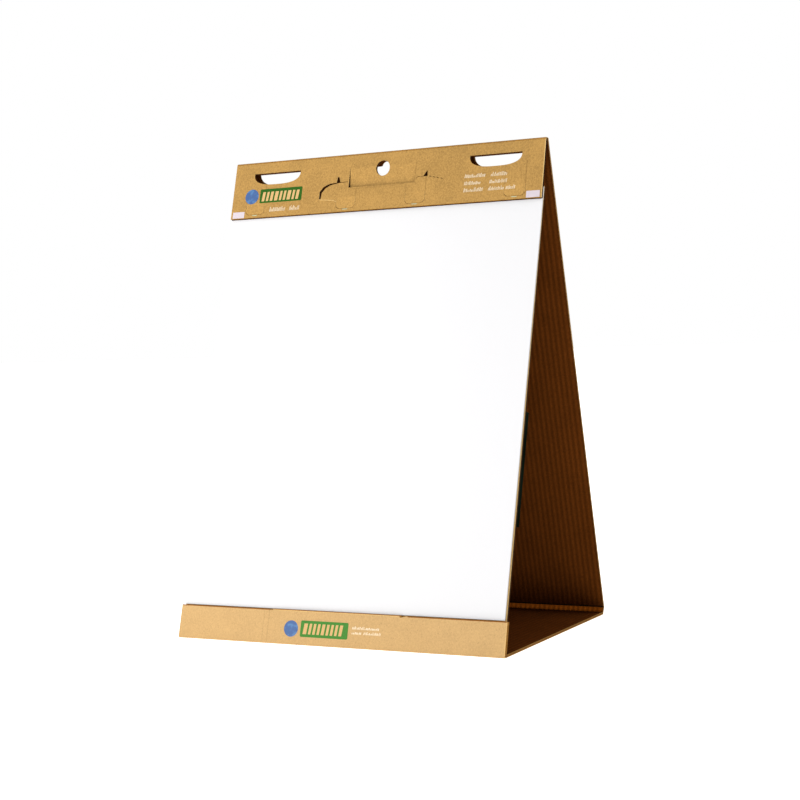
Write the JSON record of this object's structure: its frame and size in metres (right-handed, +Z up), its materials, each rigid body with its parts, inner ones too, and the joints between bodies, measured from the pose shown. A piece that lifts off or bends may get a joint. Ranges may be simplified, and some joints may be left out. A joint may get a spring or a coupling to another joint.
{
  "type": "tabletop easel pad",
  "caption": "Tent-folded corrugated board tabletop easel with a self-stick sheet pad, front lip, hanging slots, hand-hold flap and folding base.",
  "frame": {"origin": "on the table, at the centre of the footprint", "axes": "+Z up, +Y towards the rear panel (the pad faces -Y), X along the width"},
  "size_m": [0.5, 0.35, 0.6758],
  "materials": {
    "kraft_liner": "matt",
    "kraft_inside": "matt, faintly ribbed",
    "fluting": "matt",
    "white_paper": "matt",
    "white_label": "matt",
    "adhesive": "translucent, dull",
    "green_strip": "matt"
  },
  "bodies": {
    "base": {"base_inner_liner": "kraft_inside", "base_medium": "fluting", "base_outer_liner": "kraft_liner", "spine_inner_liner": "kraft_inside", "spine_medium": "fluting", "spine_outer_liner": "kraft_liner"},
    "lip": {"lip_inner_liner": "kraft_inside", "lip_medium": "fluting", "lip_outer_liner": "kraft_liner"},
    "rear_panel": {"rear_inner_liner": "kraft_inside", "rear_medium": "fluting", "rear_outer_liner": "kraft_liner"},
    "top_sheet": {"top_sheet": "white_paper"},
    "hand_flap": {"hand_flap": "kraft_liner"},
    "tab_far_left": {"tab_far_left": "kraft_liner"},
    "tab_left": {"tab_left": "kraft_liner"},
    "tab_right": {"tab_right": "kraft_liner"},
    "tab_far_right": {"tab_far_right": "kraft_liner"},
    "front_panel": {"backing_inner_liner": "kraft_inside", "backing_medium": "fluting", "backing_outer_liner": "kraft_liner", "corner_patch_left": "white_label", "corner_patch_right": "white_label", "edge_strip": "green_strip", "header_glue_strip": "adhesive", "header_inner_liner": "kraft_inside", "header_medium": "fluting", "header_outer_liner": "kraft_liner", "pad_glue_strip": "adhesive", "pad_sheets": "white_paper", "top_fold": "kraft_liner"}
  },
  "joints": [
    {"name": "rear_lean", "type": "hinge", "parent": "base", "child": "rear_panel", "pos_m": [0, 0.175, 0.01], "axis": [-1, 0, 0], "range_deg": [0, 9]},
    {"name": "front_close", "type": "hinge", "parent": "rear_panel", "child": "front_panel", "pos_m": [0, 0.01897, 0.67401], "axis": [1, 0, 0], "range_deg": [0, 15.49]},
    {"name": "lip_fold", "type": "hinge", "parent": "base", "child": "lip", "pos_m": [0, -0.175, 0], "axis": [1, 0, 0], "range_deg": [0, 104]},
    {"name": "sheet_lift", "type": "hinge", "parent": "front_panel", "child": "top_sheet", "pos_m": [0, -0.00836, 0.592], "axis": [-1, 0, 0], "range_deg": [0, 115]},
    {"name": "hand_flap_push", "type": "hinge", "parent": "front_panel", "child": "hand_flap", "pos_m": [0, 0.01283, 0.65252], "axis": [1, 0, 0], "range_deg": [-8, 50]},
    {"name": "tab_far_left_bend", "type": "hinge", "parent": "front_panel", "child": "tab_far_left", "pos_m": [-0.209, -0.0024, 0.61317], "axis": [-1, 0, 0], "range_deg": [0, 30]},
    {"name": "tab_left_bend", "type": "hinge", "parent": "front_panel", "child": "tab_left", "pos_m": [-0.056, -0.0024, 0.61317], "axis": [-1, 0, 0], "range_deg": [0, 30]},
    {"name": "tab_right_bend", "type": "hinge", "parent": "front_panel", "child": "tab_right", "pos_m": [0.056, -0.0024, 0.61317], "axis": [-1, 0, 0], "range_deg": [0, 30]},
    {"name": "tab_far_right_bend", "type": "hinge", "parent": "front_panel", "child": "tab_far_right", "pos_m": [0.209, -0.0024, 0.61317], "axis": [-1, 0, 0], "range_deg": [0, 30]}
  ],
  "couplings": [
    {"joint": "front_close", "follows": "rear_lean", "ratio": 1.7185}
  ]
}
